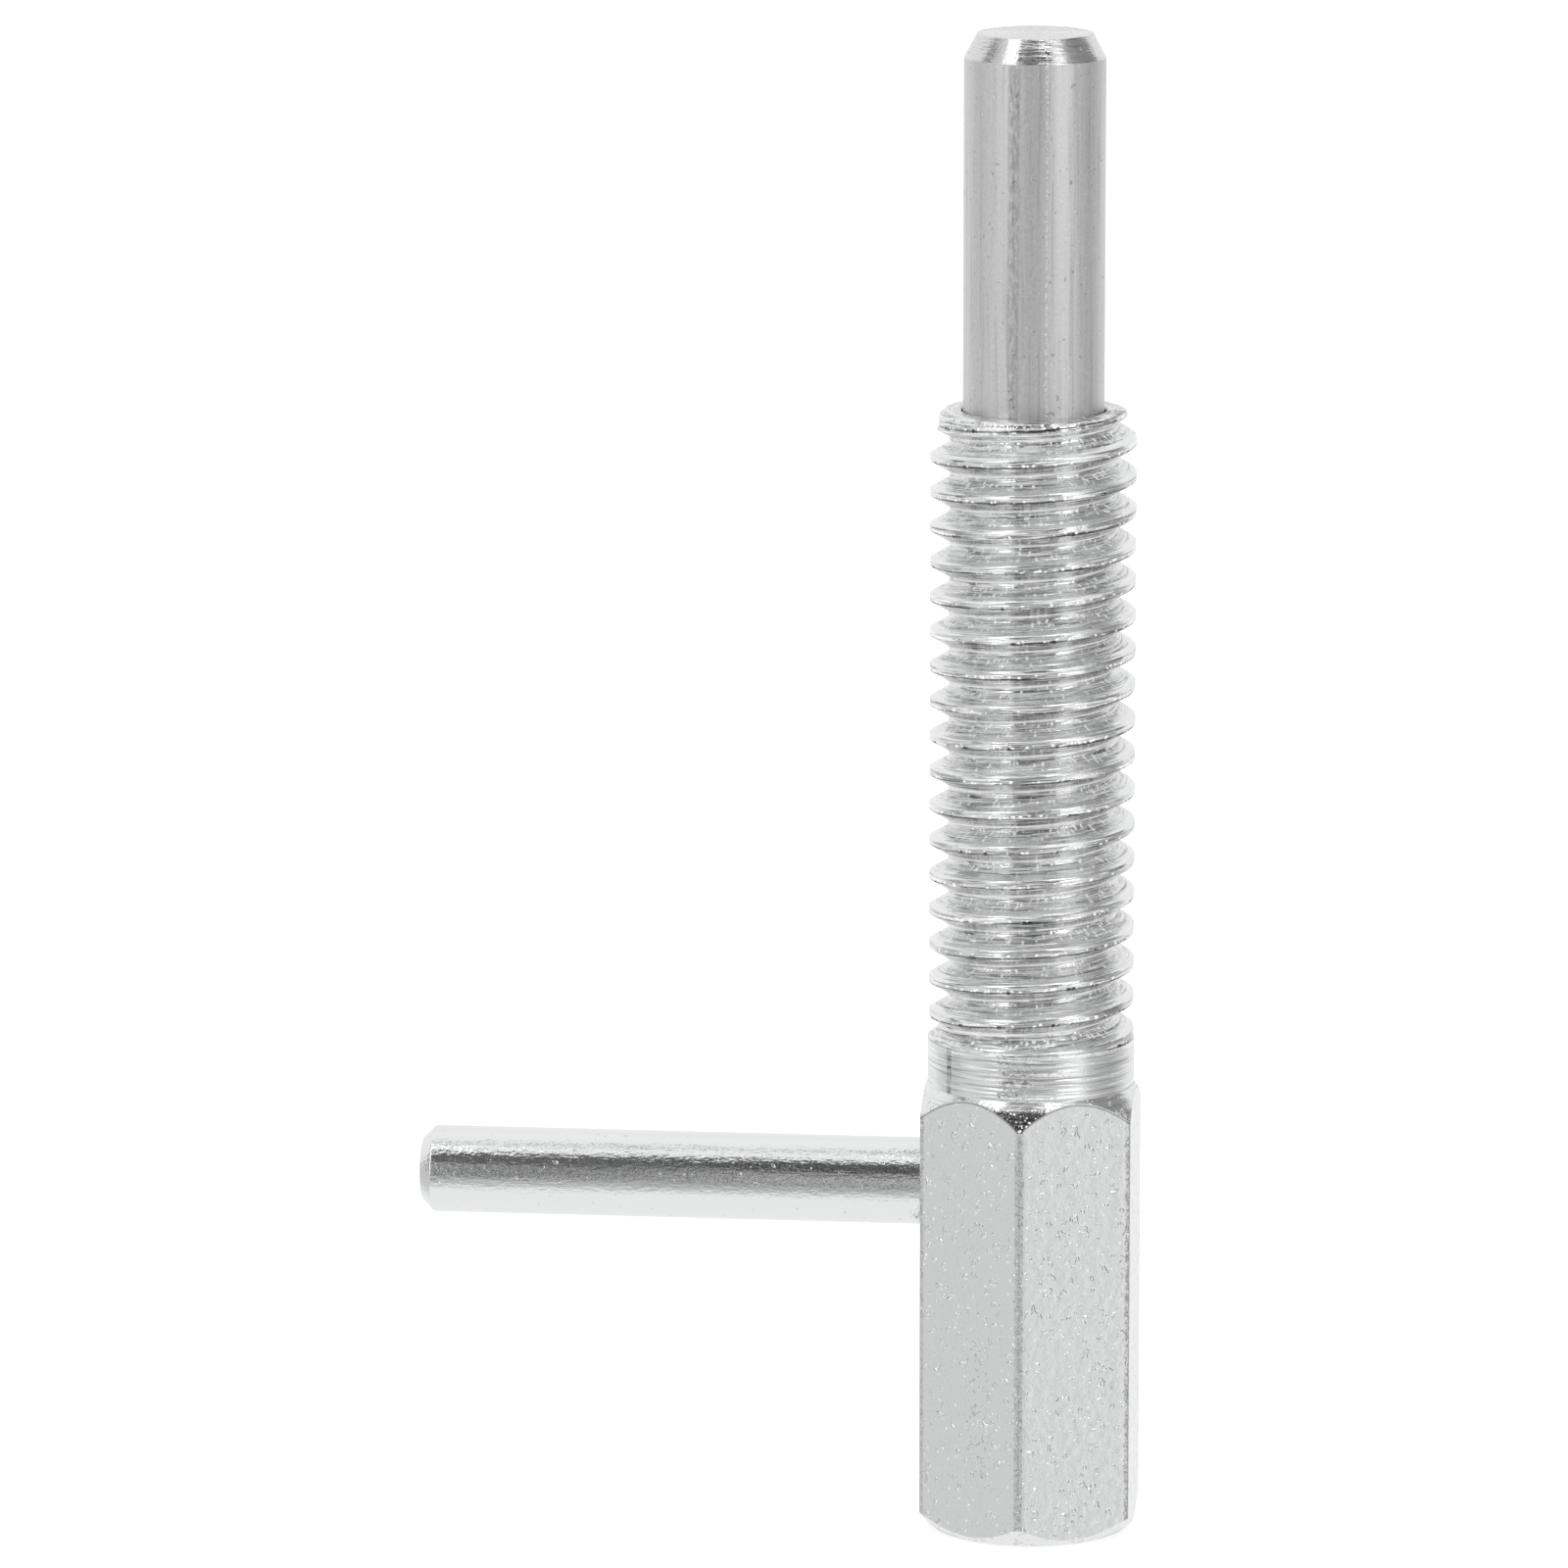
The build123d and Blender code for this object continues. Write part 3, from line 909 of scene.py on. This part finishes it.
def softened(outline, radius):
    """Outline whose inner corners are rounded."""
    nearly_straight = math.radians(88)
    most_of_side = 0.4
    points = [Vector(outline[0])]
    for before, corner, after in zip(outline, outline[1:], outline[2:]):
        corner = Vector(corner)
        back = Vector(before) - corner
        ahead = Vector(after) - corner
        half = back.angle(ahead) / 2
        if half > nearly_straight:
            points.append(corner)
            continue
        shorter = min(back.length, ahead.length)
        reach = min(radius / math.tan(half), shorter * most_of_side)
        rounding = reach * math.tan(half)
        back.normalize()
        ahead.normalize()
        middle = corner + (back + ahead).normalized() * rounding / math.sin(half)
        first = corner + back * reach - middle
        last = corner + ahead * reach - middle
        for step in range(ROUNDING_STEPS + 1):
            spoke = first.lerp(last, step / ROUNDING_STEPS).normalized() * rounding
            points.append(middle + spoke)
    points.append(Vector(outline[-1]))
    return points


def lathe(name, outline, sides):
    """Closed solid of revolution about Z from (radius, height) points, from axis to axis."""
    on_axis = 1e-9
    vertices = []
    rings = []
    for radius, height in outline:
        count = 1 if radius < on_axis else sides
        rings.append(range(len(vertices), len(vertices) + count))
        for step in range(count):
            turned = 2 * math.pi * step / sides
            vertices.append((radius * math.cos(turned), radius * math.sin(turned), height))
    faces = []
    for low, high in zip(rings, rings[1:]):
        for step in range(sides):
            ahead = (step + 1) % sides
            corners = ((low, step), (low, ahead), (high, ahead), (high, step))
            face = list(dict.fromkeys(ring[place % len(ring)] for ring, place in corners))
            if len(face) > 2:
                faces.append(face)
    piece = linked(name, vertices, faces)
    piece.data.validate()
    return piece


def cut_away(piece, cutter):
    """Takes one solid out of another, and removes the cutter."""
    bpy.context.view_layer.update()
    modifier = piece.modifiers.new("Cut", "BOOLEAN")
    modifier.operation = "DIFFERENCE"
    modifier.solver = "EXACT"
    modifier.object = cutter
    plain(piece)
    bpy.data.objects.remove(cutter)


def box_solid(name, low, high):
    """Closed box between two corners."""
    x_ends, y_ends, z_ends = zip(low, high)
    corners = [(x, y, z) for x in x_ends for y in y_ends for z in z_ends]
    faces = [(0, 1, 3, 2), (4, 6, 7, 5), (0, 4, 5, 1), (2, 3, 7, 6), (0, 2, 6, 4), (1, 5, 7, 3)]
    return linked(name, corners, faces)


def give_place(piece, node, body):
    """Shades a finished piece, with its sharp edges kept, and puts it in its solid's place."""
    piece.data.shade_smooth()
    piece.data.set_sharp_from_angle(angle=math.radians(SHARP_DEGREES))
    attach(piece, body)
    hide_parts(node)


class PLUNGER_OT_body(bpy.types.Operator):
    """Build the threaded body."""

    bl_idname = "plunger.body"
    bl_label = "Threaded body"

    def execute(self, context):
        body = context.scene.plunger_body
        finish = context.scene.plunger_finish
        sizes = sizes_of(body)
        finishes = {
            "hexagon": plated_hexagon(finish, body),
            "collar": plated_collar(finish),
            "thread": plated_thread(finish, body),
        }
        nodes, known_by = body_tree(sizes, finishes)
        piece = grow("threaded_barrel_and_hexagon", nodes, known_by, sizes)
        give_place(piece, "threaded_body", "housing")
        return {"FINISHED"}


class PLUNGER_OT_pin(bpy.types.Operator):
    """Build the pin and its stem."""

    bl_idname = "plunger.pin"
    bl_label = "Pin"

    def execute(self, context):
        pin = context.scene.plunger_pin
        lever = context.scene.plunger_lever
        relief_middle = pin.relief_top - pin.relief_width / 2
        outline = [
            (0.0, PIN_LOW.z),
            (pin.stem_radius, PIN_LOW.z),
            (pin.stem_radius, pin.guide_start),
            (pin.radius, pin.guide_start),
            (pin.radius, pin.relief_top - pin.relief_width),
            (pin.radius - pin.relief_depth, relief_middle),
            (pin.radius, pin.relief_top),
            (pin.radius, PIN_HIGH.z - pin.tip_chamfer_length),
            (pin.radius - pin.tip_chamfer_width, PIN_HIGH.z),
            (0.0, PIN_HIGH.z),
        ]
        piece = lathe("indexing_pin", softened(outline, pin.edge_rounding), PIN_SIDES)
        seat_reach = lever.radius + pin.seat_margin
        beyond = pin.stem_radius + 1 * MM
        seat = box_solid(
            "seat",
            (-beyond, -beyond, lever.height - seat_reach),
            (-pin.stem_radius + pin.seat_depth, beyond, lever.height + seat_reach),
        )
        cut_away(piece, seat)
        low = -1 * MM
        high = 2 * pin.stem_radius - pin.hole_end
        profile = [(0.0, low), (pin.hole_radius, low), (pin.hole_radius, high), (0.0, high)]
        hole = lathe("hole", profile, HOLE_SIDES)
        place = Matrix.Translation((-pin.stem_radius, 0.0, lever.height))
        hole.data.transform(place @ Matrix.Rotation(math.pi / 2, 4, "Y"))
        cut_away(piece, hole)
        piece.data.materials.clear()
        piece.data.materials.append(ground_steel(context.scene.plunger_finish, pin))
        give_place(piece, "plunger_pin", "plunger")
        return {"FINISHED"}


class PLUNGER_OT_lever(bpy.types.Operator):
    """Build the lever."""

    bl_idname = "plunger.lever"
    bl_label = "Lever"

    def execute(self, context):
        lever = context.scene.plunger_lever
        outline = [
            (0.0, -lever.spigot_end),
            (lever.spigot_radius, -lever.spigot_end),
            (lever.spigot_radius, lever.seat),
            (lever.radius, lever.seat),
            (lever.radius, lever.reach - lever.end_chamfer),
            (lever.radius - lever.end_chamfer, lever.reach),
            (0.0, lever.reach),
        ]
        piece = lathe("side_lever", softened(outline, lever.edge_rounding), LEVER_SIDES)
        place = Matrix.Translation((0.0, 0.0, lever.height))
        piece.data.transform(place @ Matrix.Rotation(-math.pi / 2, 4, "Y"))
        piece.data.materials.append(plated_rod(context.scene.plunger_finish))
        give_place(piece, "lever_handle", "plunger")
        return {"FINISHED"}


class PLUNGER_OT_spring(bpy.types.Operator):
    """Build the spring."""

    bl_idname = "plunger.spring"
    bl_label = "Spring"

    def execute(self, context):
        spring = context.scene.plunger_spring
        sizes = sizes_of(spring, "seat_height", "kept_share")
        nodes, known_by = spring_tree(sizes, drawn_wire(context.scene.plunger_finish))
        piece = grow("coil_spring", nodes, known_by, sizes)
        give_place(piece, "compression_spring", "housing")
        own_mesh(piece)
        return {"FINISHED"}


class PLUNGER_OT_stage(bpy.types.Operator):
    """Build the floor, the light and the camera."""

    bl_idname = "plunger.stage"
    bl_label = "Stage"

    def execute(self, context):
        view = context.scene.plunger_view
        context.scene.view_settings.view_transform = "Standard"
        make_floor()
        make_world(context.scene, view)
        make_lamp()
        make_camera(context.scene, view)
        return {"FINISHED"}


def make_floor():
    """Plain white floor that keeps the object's shadow."""
    half = 4.0
    corners = [(-half, -half, 0.0), (half, -half, 0.0), (half, half, 0.0), (-half, half, 0.0)]
    floor = linked("floor", corners, [(0, 1, 2, 3)])
    floor.location.z = -0.02 * MM
    made, nodes = material("White floor")[:2]
    paint = nodes.add("ShaderNodeBsdfDiffuse", None, {"Color": (0.6, 0.6, 0.6, 1.0)})
    glow = nodes.add("ShaderNodeEmission", None, {"Color": (1, 1, 1, 1), "Strength": 0.6})
    both = nodes.add("ShaderNodeAddShader", None, {0: paint, 1: glow})
    clear = nodes.add("ShaderNodeBsdfTransparent", None, {"Color": (1, 1, 1, 1)})
    seen = nodes.add("ShaderNodeLightPath", output="Is Glossy Ray")
    shown = nodes.add("ShaderNodeMixShader", None, {0: seen, 1: both, 2: clear})
    nodes.add("ShaderNodeOutputMaterial", None, {"Surface": shown})
    floor.data.materials.append(made)


def make_world(scene, view):
    """White surroundings with the darker parts of a room for the metal to show."""
    world = bpy.data.worlds.new("Studio")
    scene.world = world
    world.use_nodes = True
    world.node_tree.nodes.clear()
    nodes = Nodes(world.node_tree)
    place = nodes.add("ShaderNodeTexCoord", output="Object")
    x, y, z = nodes.axes(place)
    to_degrees = 180 / math.pi
    around = nodes.math("ARCTAN2", x, y * -1.0) - view.azimuth
    around = ((around + math.pi) % (2 * math.pi)) * to_degrees - 180
    lift = nodes.math("ARCSINE", nodes.clamp(z, -1.0, 1.0)) * to_degrees
    level = nodes.math("COSINE", lift / to_degrees)
    turned = around / to_degrees
    sine = nodes.clamp(nodes.math("SINE", turned) * level, -1.0, 1.0)
    aside = nodes.math("ARCSINE", sine) * to_degrees
    tilt = nodes.math("ARCTAN2", z, nodes.math("COSINE", turned) * level) * to_degrees
    low = nodes.levels(around, -180, 180, [
        (-180, 0.95), (-138, 0.93), (-128, 0.85), (-119, 0.68), (-104, 0.62), (-90, 0.66), (-79, 0.7),
        (-68, 0.72), (-58, 0.71), (-49, 0.6), (-39, 0.55), (-30, 0.53), (-20, 0.5), (-8, 0.47),
        (4, 0.5), (13, 0.54), (21, 0.58), (30, 0.62), (39, 0.6), (46, 0.64), (51, 0.86), (56, 1.02),
        (61, 0.98), (65, 0.68), (69, 0.58), (79, 0.5), (90, 0.44), (103, 0.42), (118, 0.58),
        (130, 0.82), (142, 0.93), (180, 0.95),
    ])
    high = nodes.levels(around, -180, 180, [
        (-180, 0.95), (-120, 0.95), (-108, 0.9), (-90, 0.85), (-66, 0.72), (-52, 1.0), (-44, 2.2),
        (-30, 2.2), (32, 2.3), (48, 2.3), (57, 0.9), (64, 0.45), (100, 0.36), (116, 0.6), (130, 0.95),
        (180, 0.95),
    ])
    front = nodes.levels(tilt, -180, 180, [
        (-180, 0.95), (-90, 1.0), (-50, 0.93), (-33, 0.77), (-25, 0.58), (-17, 0.38), (-9, 0.27),
        (-2, 0.32), (5, 0.44), (13, 0.42), (20, 0.32), (28, 0.18), (36, 0.12), (52, 0.12), (57, 0.22),
        (60, 0.97), (83, 0.97), (85, 0.35), (88, 0.35), (90, 0.97), (180, 0.97),
    ])
    busy = nodes.rise(nodes.noise(place, 12.0, BUSY, 27.0), 0.4, 0.6) * 1.8 + 0.1
    busy = nodes.mix(nodes.band(tilt, -15.0, 54.0, 6.0), 1.0, busy)
    sides = nodes.mix(nodes.rise(lift, -5.0, 9.0), low, high)
    changes = [
        (nodes.rise(lift, -18.0, -45.0), 0.95),
        (nodes.rise(lift, 45.0, 60.0), 1.0),
        (nodes.band(around, 86.0, 122.0, 8.0) * nodes.band(lift, 8.0, 62.0, 8.0), 0.3),
        (nodes.band(around, -100.0, -88.0, 4.0) * nodes.band(lift, 2.0, 48.0, 8.0), 0.25),
    ]
    for where, changed in changes:
        sides = nodes.mix(where, sides, changed)
    window = nodes.rise(abs(aside - 1.0), 33.0, 26.0) * nodes.rise(lift, -12.0, -5.0)
    window = window * nodes.rise(tilt, 130.0, 100.0)
    seen = nodes.mix(window, sides, front * busy)
    right_lamp = nodes.band(around, 20.0, 42.0, 5.0) * nodes.band(lift, 55.0, 72.0, 5.0)
    left_lamp = nodes.band(around, -62.0, -44.0, 4.0) * nodes.band(lift, 42.0, 62.0, 4.0)
    seen = seen + (right_lamp + left_lamp) * 1.6
    path = nodes.add("ShaderNodeLightPath", output="Is Camera Ray")
    glossy = path.out("Is Glossy Ray")
    clear = nodes.math("MAXIMUM", path, path.out("Is Transmission Ray"))
    strength = nodes.mix(clear, nodes.mix(glossy, view.light, seen), 1.0)
    back = nodes.add("ShaderNodeBackground", None, {"Color": (1, 1, 1, 1), "Strength": strength})
    nodes.add("ShaderNodeOutputWorld", None, {"Surface": back})


def make_lamp():
    """One soft lamp above."""
    lamp = bpy.data.lights.new("softbox", "AREA")
    lamp.shape = "SQUARE"
    lamp.size = 0.35
    lamp.energy = 0.35
    holder = bpy.data.objects.new("softbox", lamp)
    holder.location = (-0.15, -0.1, 0.5)
    direction = Vector((0, 0, 0.03)) - holder.location
    holder.rotation_euler = direction.to_track_quat("-Z", "Y").to_euler()
    holder.visible_glossy = False
    bpy.context.scene.collection.objects.link(holder)


def make_camera(scene, view):
    """Camera that shows one point of the axis where the photograph shows it."""
    away = Vector((
        math.sin(view.azimuth) * math.cos(view.elevation),
        -math.cos(view.azimuth) * math.cos(view.elevation),
        math.sin(view.elevation),
    ))
    data = bpy.data.cameras.new("camera")
    data.sensor_width = 36.0
    data.lens = view.lens
    data.clip_start = 0.01
    data.clip_end = 20.0
    focal = view.lens / data.sensor_width * view.picture
    up = Vector((0, 0, 1))
    right = (-away).cross(up).normalized()
    raised = right.cross(-away)
    ahead = -away - right * ((view.target_x - view.picture / 2) / focal)
    ahead = (ahead - raised * ((view.picture / 2 - view.target_y) / focal)).normalized()
    right = ahead.cross(up).normalized()
    raised = right.cross(ahead)
    turn = Matrix((right, raised, -ahead)).transposed().to_4x4()
    holder = bpy.data.objects.new("camera", data)
    place = Vector((0, 0, view.target_height)) + away * view.distance
    holder.matrix_world = Matrix.Translation(place) @ turn
    scene.collection.objects.link(holder)
    scene.camera = holder


class PLUNGER_PT_sidebar(bpy.types.Panel):
    """Lists the sizes and the pieces."""

    bl_label = "Indexing plunger"
    bl_idname = "PLUNGER_PT_sidebar"
    bl_space_type = "VIEW_3D"
    bl_region_type = "UI"
    bl_category = "Plunger"

    def draw(self, context):
        for group_name in GROUPS:
            group = getattr(context.scene, group_name)
            column = self.layout.column(align=True)
            for name in type(group).__annotations__:
                column.prop(group, name)
        for step in STEPS:
            self.layout.operator(step.bl_idname)


GROUPS = {
    "plunger_body": PLUNGER_PG_body,
    "plunger_pin": PLUNGER_PG_pin,
    "plunger_lever": PLUNGER_PG_lever,
    "plunger_spring": PLUNGER_PG_spring,
    "plunger_finish": PLUNGER_PG_finish,
    "plunger_view": PLUNGER_PG_view,
}
STEPS = (PLUNGER_OT_body, PLUNGER_OT_pin, PLUNGER_OT_lever, PLUNGER_OT_spring, PLUNGER_OT_stage)


def register():
    """Registers the classes and puts their sizes on the scene."""
    for cls in (*GROUPS.values(), *STEPS, PLUNGER_PT_sidebar):
        bpy.utils.register_class(cls)
    for name, group in GROUPS.items():
        setattr(bpy.types.Scene, name, PointerProperty(type=group))


def unregister():
    """Takes the sizes and the classes away again."""
    for name in GROUPS:
        delattr(bpy.types.Scene, name)
    for cls in reversed((*GROUPS.values(), *STEPS, PLUNGER_PT_sidebar)):
        bpy.utils.unregister_class(cls)


def main():
    """Puts the sizes on the scene and builds each piece in turn."""
    register()
    bpy.ops.plunger.body()
    bpy.ops.plunger.pin()
    bpy.ops.plunger.lever()
    bpy.ops.plunger.spring()
    bpy.ops.plunger.stage()


if __name__ == "__main__":
    main()
